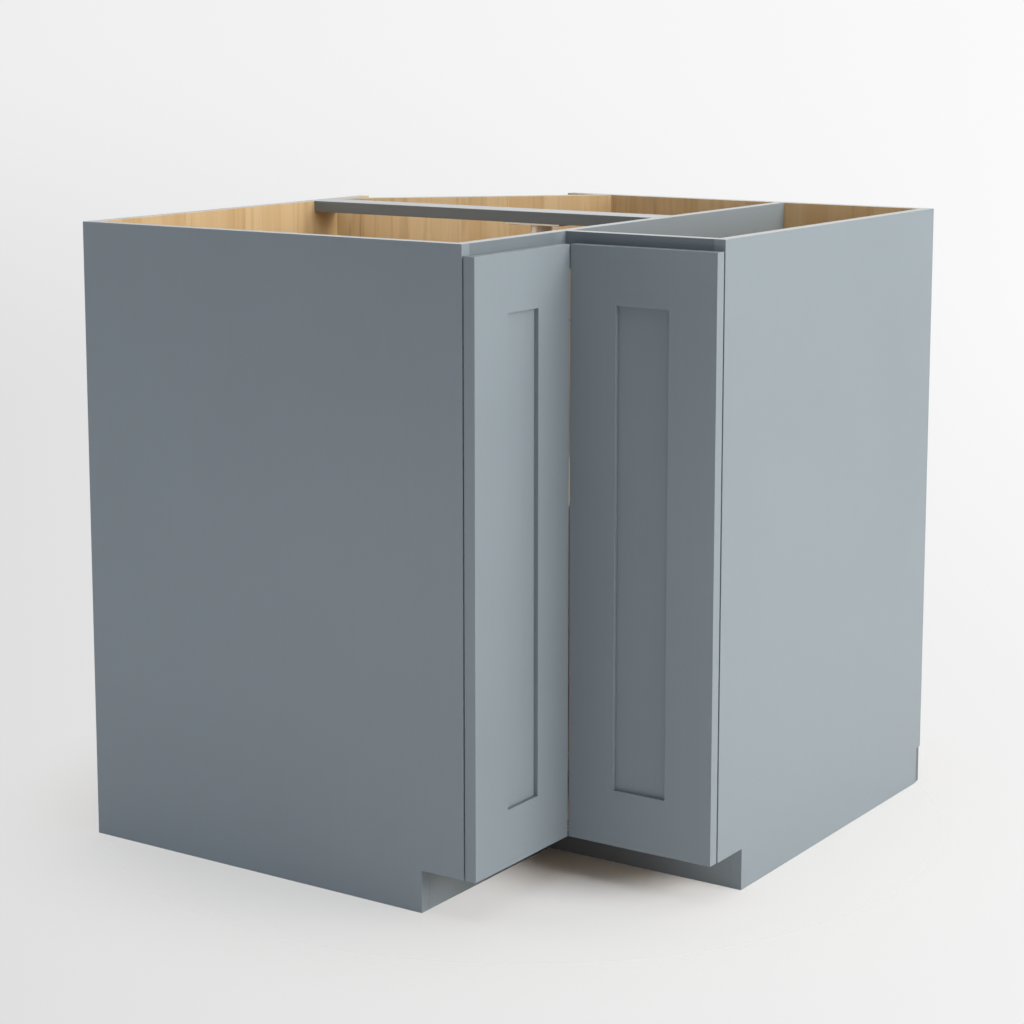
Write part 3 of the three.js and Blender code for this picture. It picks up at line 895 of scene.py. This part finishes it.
# Marks the edges that are rounded: the outline and the recess, and not the flush joints.
def markDoorEdges(solid, side, isStile, joints, railZone):
    across = doors["across"][side]
    through = 1 - across
    depths = [vertex.co[through] for vertex in solid.verts]
    surfaces = (min(depths), max(depths))
    weights = solid.edges.layers.float.new("bevel_weight_edge")
    for edge in solid.edges:
        first, second = (vertex.co for vertex in edge.verts)
        moving = [abs(part) > meshing["weld"] for part in second - first]
        onSurface = all(touchesAny(point[through], surfaces) for point in (first, second))
        sharp = edge.is_manifold and edge.calc_face_angle() > doors["edgeAngle"]
        if sum(moving) != 1 or not onSurface or not sharp:
            continue
        alongJoint = all(touchesAny(point[across], joints) for point in (first, second))
        height = (first.z + second.z) / 2
        inRecess = isStile and moving[2] and railZone[0] < height < railZone[1]
        if inRecess or not alongJoint:
            edge[weights] = 1.0


def addDoorMember(node, side, isStile, joints, railZone):
    solid = solidOf(node)
    if isStile:
        for height in railZone:  # the recess's edge ends at the rails, so the stile is cut there
            bmesh.ops.bisect_plane(
                solid, geom=[*solid.verts, *solid.edges, *solid.faces],
                plane_co=(0, 0, height), plane_no=zAxis,
            )
    markDoorEdges(solid, side, isStile, joints, railZone)
    # the upward faces get the painted shade of the doors' upper edges
    for face in solid.faces:
        face.material_index = 2 if looks(face, zAxis) else 0
    coat = paintUpright if isStile else paintLevel
    mesh = toMesh("finished_" + node, solid, smooth=False)
    piece = standIn(node, mesh, [coat, shadedPaintEdge, doorUpperShade])
    roundEdges(
        piece, doors["edgeRadius"], doors["edgeSteps"], edgeMaterial=1, marked=True, smooth=False
    )


def addDoors():
    for side, across in doors["across"].items():
        lowStile, highStile = (f"{side}_door_{place}_stile" for place in doors["stiles"][side])
        joints = (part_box(lowStile)[1][across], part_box(highStile)[0][across])
        rails = (f"{side}_door_bottom_rail", f"{side}_door_top_rail")
        railZone = (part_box(rails[0])[1].z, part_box(rails[1])[0].z)
        for node in (lowStile, highStile, *rails):
            addDoorMember(node, side, node not in rails, joints, railZone)
        finishNode(
            f"{side}_door_panel", [paintUpright], doors["panelEdgeRadius"], smooth=False
        )


# Screws

screw = {
    "steps": 28,
    "headRadius": 3.9 * mm,
    "headHeight": 1.3 * mm,
    "sunk": 0.4 * mm,
    "sunkTaper": 0.96,
    "rimHeight": 0.15 * mm,
    "dome": ((0.93, 0.55), (0.66, 0.9), (0.3, 1.0)),  # shares of the radius and of the height
    "slotLength": 4.4 * mm,
    "slotWidth": 1.0 * mm,
    "slotDepth": 0.9 * mm,
    "firstTurn": 0.5,  # radians, so that the slots of a pair stand differently
    "turnStep": 1.3,
}


# The cross slot is cut by one plus-shaped prism.
def makeScrewHead():
    radius, height = screw["headRadius"], screw["headHeight"]
    profile = [(0, -screw["sunk"]), (radius * screw["sunkTaper"], -screw["sunk"])]
    profile += [(radius, screw["rimHeight"])]
    profile += [(radius * share, height * rise) for share, rise in screw["dome"]]
    profile += [(0, height)]
    long, wide = screw["slotLength"] / 2, screw["slotWidth"] / 2
    plus = []
    for quarter in range(4):
        spin = Matrix.Rotation(quarter * math.pi / 2, 2)
        plus += [spin @ Vector(corner) for corner in ((long, -wide), (long, wide), (wide, wide))]
    cross = bmesh.new()
    floor, above = height - screw["slotDepth"], height + mm
    rings = [[cross.verts.new((*corner, level)) for corner in plus] for level in (floor, above)]
    for ring in rings:
        cross.faces.new(ring)
    for step in range(len(plus)):
        after = (step + 1) % len(plus)
        cross.faces.new((rings[0][step], rings[0][after], rings[1][after], rings[1][step]))
    bmesh.ops.recalc_face_normals(cross, faces=cross.faces)
    return booleanMesh("crossScrewHead", lathe(profile, screw["steps"]), cross, "DIFFERENCE")


def addScrews(name, places, direction, body, size=1.0):
    for number, place in enumerate(places, 1):
        turn = Matrix.Rotation(screw["firstTurn"] + screw["turnStep"] * number, 4, "Z")
        stand = Matrix.Translation(place) @ facing(direction) @ turn @ Matrix.Scale(size, 4)
        addPiece(f"{name}_{number}", screwHead, [nickel], body, "nickel_steel", stand)


# Hinges

hinges = {
    "parts": (
        "hinge_plate", "hinge_arm", "hinge_first_link", "hinge_second_link", "hinge_cup",
        "fold_plate", "fold_arm", "fold_link", "fold_cup",
    ),
    "edgeRadius": 0.25 * mm,
    "plateScrews": 16 * mm,  # above and below a plate's middle
    "cupScrewInset": 3.9 * mm,  # from the upper and lower ends of a cup's flange
    "cupScrewSize": 0.75,
    "armScrews": (7 * mm, 19 * mm),  # from an arm's free end
    "armScrewSize": 0.8,
    "patchDepth": 0.1 * mm,
}


# The box round those of a node's points that lie furthest along `way`.
def farthestPatch(node, way):
    points = [vertex.co for vertex in frame["nodes"][node].data.vertices]
    reach = max(point.dot(way) for point in points)
    patch = [point for point in points if point.dot(way) > reach - hinges["patchDepth"]]
    low = Vector([min(point[axis] for point in patch) for axis in range(3)])
    high = Vector([max(point[axis] for point in patch) for axis in range(3)])
    return low, high


def addPlateScrews(node, out):
    middle = faceMiddle(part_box(node), out)
    up = zAxis * hinges["plateScrews"]
    addScrews(node + "_screw", [middle + up, middle - up], out, bodyOf[node])


def addCupScrews(node, out):
    places = [
        faceMiddle(farthestPatch(node, way), out) - way * hinges["cupScrewInset"]
        for way in (zAxis, -zAxis)
    ]
    addScrews(node + "_screw", places, out, bodyOf[node], hinges["cupScrewSize"])


def addArmScrews(node, endWay, out):
    end = faceMiddle(farthestPatch(node, endWay), out)
    places = [end - endWay * inset for inset in hinges["armScrews"]]
    addScrews(node + "_screw", places, out, bodyOf[node], hinges["armScrewSize"])


def addHinges():
    for level in levels:
        for part in hinges["parts"]:
            finishNode(f"{level}_{part}", [nickel], hinges["edgeRadius"])
        addPlateScrews(f"{level}_hinge_plate", -xAxis)
        addPlateScrews(f"{level}_fold_plate", yAxis)
        addCupScrews(f"{level}_hinge_cup", yAxis)
        addCupScrews(f"{level}_fold_cup", -xAxis)
        addArmScrews(f"{level}_hinge_arm", yAxis, -xAxis)
        addArmScrews(f"{level}_fold_arm", xAxis, yAxis)


# Carousel

tray = {
    "steps": 120,
    "wall": 3.0 * mm,
    "lip": 3.0 * mm,
    "lipInnerRound": 1.5 * mm,
    "floorRise": 6.0 * mm,
    "fillet": 5.0 * mm,
    "hubRadius": 22.0 * mm,
    "hubHeight": 34.0 * mm,
    "hubChamfer": 1.0 * mm,
    "hubTaper": 1.2 * mm,
    "hubFillet": 7.0 * mm,
    "hubFilletBelow": 4.0 * mm,
    "bore": 13.05 * mm,
    "boreChamferBelow": 0.6 * mm,
    "boreChamferAbove": 0.8 * mm,
    "ridges": (0.098, 0.172, 0.238),  # radii of the low rings that keep tins from sliding
    "ridgeHeight": 0.9 * mm,
    "ridgeWidth": 2.4 * mm,
    "ridgeCrown": 0.4,  # the flat crown's share of the width
    "ribs": 12,
    "ribThickness": 2.2 * mm,
    "ribLow": 1.4 * mm,
    "ribFromHub": 8.0 * mm,
    "ribFromWall": 7.5 * mm,
    "ribIntoFloor": 1.0 * mm,
}


# The section of a tray, from the foot of its bore round the outside and back down its bore.
def trayProfile(rim, top):
    bore, hub, fillet, lip = tray["bore"], tray["hubRadius"], tray["fillet"], tray["lip"]
    under, hubTop, bevel = tray["floorRise"], tray["hubHeight"], tray["hubChamfer"]
    floor = under + tray["wall"]
    outside = rim - lip
    inside = outside - tray["wall"]
    boreBelow, boreAbove = tray["boreChamferBelow"], tray["boreChamferAbove"]
    hubBelow, hubAbove, lipRound = tray["hubFilletBelow"], tray["hubFillet"], tray["lipInnerRound"]
    profile = [(bore, boreBelow), (bore + boreBelow, 0), (hub - bevel, 0), (hub, bevel)]
    profile += arc(hub + hubBelow, under - hubBelow, hubBelow, 180, 90, 3)
    profile += arc(outside - fillet, under + fillet, fillet, -90, 0)
    profile += arc(outside, top - lip, lip, -70, 90, 7)
    profile += arc(inside + lipRound, top - lipRound, lipRound, 90, 180, 3)
    profile += arc(inside - fillet, floor + fillet, fillet, 0, -90)
    half = tray["ridgeWidth"] / 2
    crown, crest = half * tray["ridgeCrown"], floor + tray["ridgeHeight"]
    for radius in reversed(tray["ridges"]):
        profile += [(radius + half, floor), (radius + crown, crest)]
        profile += [(radius - crown, crest), (radius - half, floor)]
    profile += arc(hub + hubAbove, floor + hubAbove, hubAbove, -90, -175, 5)
    taper = tray["hubTaper"]
    profile += [(hub - taper, hubTop - bevel), (hub - taper - bevel, hubTop)]
    profile += [(bore + boreAbove, hubTop), (bore, hubTop - boreAbove)]
    return profile


def trayRibs(rim):
    ribs = bmesh.new()
    half = tray["ribThickness"] / 2
    low = (tray["hubRadius"] + tray["ribFromHub"], -half, tray["ribLow"])
    end = rim - tray["lip"] - tray["ribFromWall"]
    high = (end, half, tray["floorRise"] + tray["ribIntoFloor"])
    for number in range(tray["ribs"]):
        corners = addBox(ribs, low, high)
        turn = Matrix.Rotation(math.tau * (number + 0.5) / tray["ribs"], 4, "Z")
        bmesh.ops.transform(ribs, matrix=turn, verts=corners)
    return ribs


def addTrays():
    for level in levels:
        node = f"{level}_tray"
        low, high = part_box(node)
        rim = (high.x - low.x) / 2
        dish = lathe(trayProfile(rim, high.z - low.z), tray["steps"], closed=True)
        mesh = booleanMesh("moulded_" + node, dish, trayRibs(rim), "UNION")
        seatOn(mesh, (low, high))
        standIn(node, mesh, [almondPlastic])


pole = {"steps": 64, "wall": 1.5 * mm, "endRadius": 0.5 * mm}


def addPole():
    for level in levels:
        node = f"{level}_pole"
        low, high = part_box(node)
        outer, length = (high.x - low.x) / 2, high.z - low.z
        inner, soft = outer - pole["wall"], pole["endRadius"]
        profile = [(inner, 0), (outer - soft, 0), (outer, soft), (outer, length - soft)]
        profile += [(outer - soft, length), (inner, length)]
        mesh = toMesh("chromed_" + node, lathe(profile, pole["steps"], closed=True))
        seatOn(mesh, (low, high))
        standIn(node, mesh, [chrome])


bearing = {
    "steps": 72,
    "flange": 4.0 * mm,
    "flangeRound": 2.0 * mm,
    "boss": 17.05 * mm,
    "bossFillet": 3.0 * mm,
    "bossChamfer": 1.0 * mm,
    "seat": 13.05 * mm,
    "seatChamfer": 0.6 * mm,
    "screws": 3,
    "screwCircle": 30 * mm,
    "firstScrew": 0.4,  # radians
    "screwSize": 1.1,
}


def addBearing():
    node = "pole_bearing"
    low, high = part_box(node)
    radius, top = (high.x - low.x) / 2, high.z - low.z
    flange, boss, seat = bearing["flange"], bearing["boss"], bearing["seat"]
    soft, fillet = bearing["flangeRound"], bearing["bossFillet"]
    outer, inner = bearing["bossChamfer"], bearing["seatChamfer"]
    profile = [(0, 0), (radius, 0), (radius, flange - soft)]
    profile += arc(radius - soft, flange - soft, soft, 0, 90, 4)
    profile += arc(boss + fillet, flange + fillet, fillet, -90, -180, 4)
    profile += [(boss, top - outer), (boss - outer, top)]
    profile += [(seat + inner, top), (seat, top - inner), (seat, flange), (0, flange)]
    mesh = toMesh("moulded_" + node, lathe(profile, bearing["steps"]))
    seatOn(mesh, (low, high))
    standIn(node, mesh, [whitePlastic])
    centre = faceMiddle((low, high), -zAxis) + zAxis * flange
    places = []
    for number in range(bearing["screws"]):
        angle = math.tau * number / bearing["screws"] + bearing["firstScrew"]
        out = Vector((math.cos(angle), math.sin(angle), 0))
        places.append(centre + out * bearing["screwCircle"])
    addScrews("bearing_screw", places, zAxis, "carcass", bearing["screwSize"])


collars = {
    "edgeRadius": 0.5 * mm,
    "screwSteps": 24,
    "screwTip": 0.5 * mm,
    "screwTop": 0.3 * mm,
    "socket": 1.25 * mm,
    "socketDepth": 1.6 * mm,
}


# A collar under each tray, held by a black set screw with a hexagon socket
def addCollars():
    for level in levels:
        finishNode(f"{level}_collar", [nickel], collars["edgeRadius"])
        node = f"{level}_collar_screw"
        low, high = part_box(node)
        radius, length = (high.z - low.z) / 2, high.x - low.x
        tip, top = collars["screwTip"], collars["screwTop"]
        profile = [(0, 0), (radius - tip, 0), (radius, tip), (radius, length - top)]
        profile += [(radius - top, length), (0, length)]
        socket, floor, above = collars["socket"], length - collars["socketDepth"], length + mm
        hexagon = lathe([(0, floor), (socket, floor), (socket, above), (0, above)], 6)
        body = lathe(profile, collars["screwSteps"])
        mesh = booleanMesh("socket_" + node, body, hexagon, "DIFFERENCE")
        seatOn(mesh, (low, high), xAxis)
        standIn(node, mesh, [blackSteel])
    finishNode("pole_lock_collar", [nickel], collars["edgeRadius"])


bracket = {
    "edgeRadius": 0.4 * mm,
    "plateThickness": 3 * mm,
    "screwInset": 10 * mm,
    "screwSize": 1.1,
}


def addBracket():
    finishNode("top_bracket", [satinNickel], bracket["edgeRadius"])
    low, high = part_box("top_bracket")
    inset = bracket["screwInset"]
    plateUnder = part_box("cross_top_rail")[0].z - bracket["plateThickness"]
    places = [
        Vector((x, y, plateUnder))
        for x in (low.x + inset, high.x - inset)
        for y in (low.y + inset, high.y - inset)
    ]
    addScrews("bracket_screw", places, -zAxis, "carcass", bracket["screwSize"])


# Bumpers and catch

bumper = {
    "steps": 32,
    # the dome: shares of the base's radius and of the thickness
    "dome": ((1.0, 0.35), (0.93, 0.75), (0.84, 0.93), (0.72, 1.0)),
    "out": {"left": -xAxis, "right": yAxis},  # the way it stands off its door
}


def addBumpers():
    for side, out in bumper["out"].items():
        for level in levels:
            node = f"{side}_{level}_bumper"
            low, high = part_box(node)
            base, thick = (high.z - low.z) / 2, abs((high - low).dot(out))
            profile = [(0, 0), (base, 0)]
            profile += [(base * share, thick * rise) for share, rise in bumper["dome"]]
            profile += [(0, thick)]
            mesh = toMesh("domed_" + node, lathe(profile, bumper["steps"]))
            seatOn(mesh, (low, high), out)
            standIn(node, mesh, [clearRubber])


catch = {
    "edgeRadius": 1.2 * mm,
    "edgeSteps": 3,
    "poleWidth": 1.8 * mm,
    "polePitch": 5.0 * mm,
    "poleMargin": 5.0 * mm,
    "poleSunk": 2.0 * mm,
    "poleProud": 0.15 * mm,
    "poleEdgeRadius": 0.1 * mm,
    "strikeEdgeRadius": 0.2 * mm,
}


def addCatch():
    finishNode("door_catch", [whitePlastic], catch["edgeRadius"], steps=catch["edgeSteps"])
    low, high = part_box("door_catch")
    half, margin = catch["poleWidth"] / 2, catch["poleMargin"]
    for number, side in enumerate((-1, 1), 1):
        centre = (low.y + high.y) / 2 + side * catch["polePitch"] / 2
        strip = bmesh.new()
        addBox(
            strip,
            (high.x - catch["poleSunk"], centre - half, low.z + margin),
            (high.x + catch["poleProud"], centre + half, high.z - margin),
        )
        name = f"catch_magnet_pole_{number}"
        piece = addPiece(name, toMesh(name, strip), [nickel], "carcass", "nickel_steel")
        roundEdges(piece, catch["poleEdgeRadius"])
    finishNode("catch_strike", [nickel], catch["strikeEdgeRadius"])


addCamera()
addLamps()
addBackdropWorld()
addFloor()
print("camera, lamps, backdrop and floor placed")
addPaintedBoards()
addBareBoards()
print("carcass boards finished")
addDoors()
print("doors finished")
screwHead = makeScrewHead()
addHinges()
print("hinges finished")
addTrays()
addPole()
addBearing()
addCollars()
addBracket()
print("carousel finished")
addBumpers()
addCatch()
print("bumpers and catch finished")
